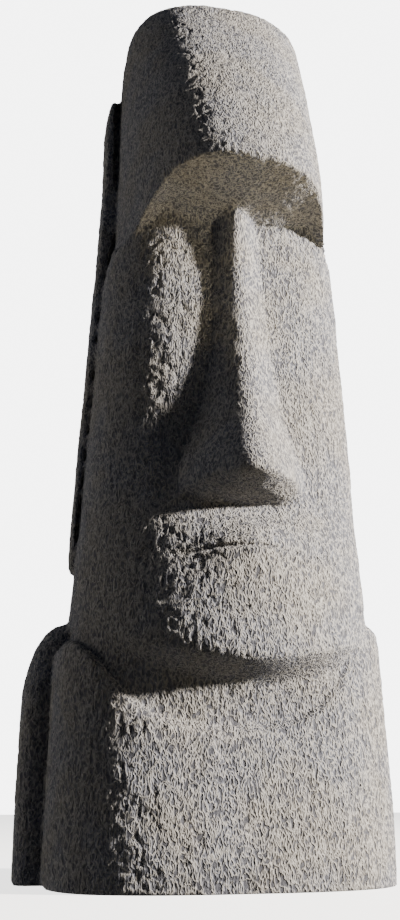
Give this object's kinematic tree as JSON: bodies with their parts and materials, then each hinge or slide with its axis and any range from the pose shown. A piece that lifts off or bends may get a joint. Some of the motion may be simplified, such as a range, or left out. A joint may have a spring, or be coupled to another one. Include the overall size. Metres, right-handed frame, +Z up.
{
  "type": "moai garden statue",
  "caption": "Standing stone head with a deep brow, long nose, long ears, frowning mouth and a low chest block with arms; stands by its own weight on a flat underside",
  "frame": {"origin": "centre of the bounding box's bottom face, on the ground", "axes": "+Z up; the face looks along -Y; +X is the statue's own left"},
  "size_m": [0.706, 0.594, 1.8],
  "materials": {
    "stone": "dark grey cast stone with a rough, worm-tracked surface; the underside of the brow, nose and jaw a little warmer"
  },
  "bodies": {
    "root": {"moai": "stone"}
  },
  "joints": []
}
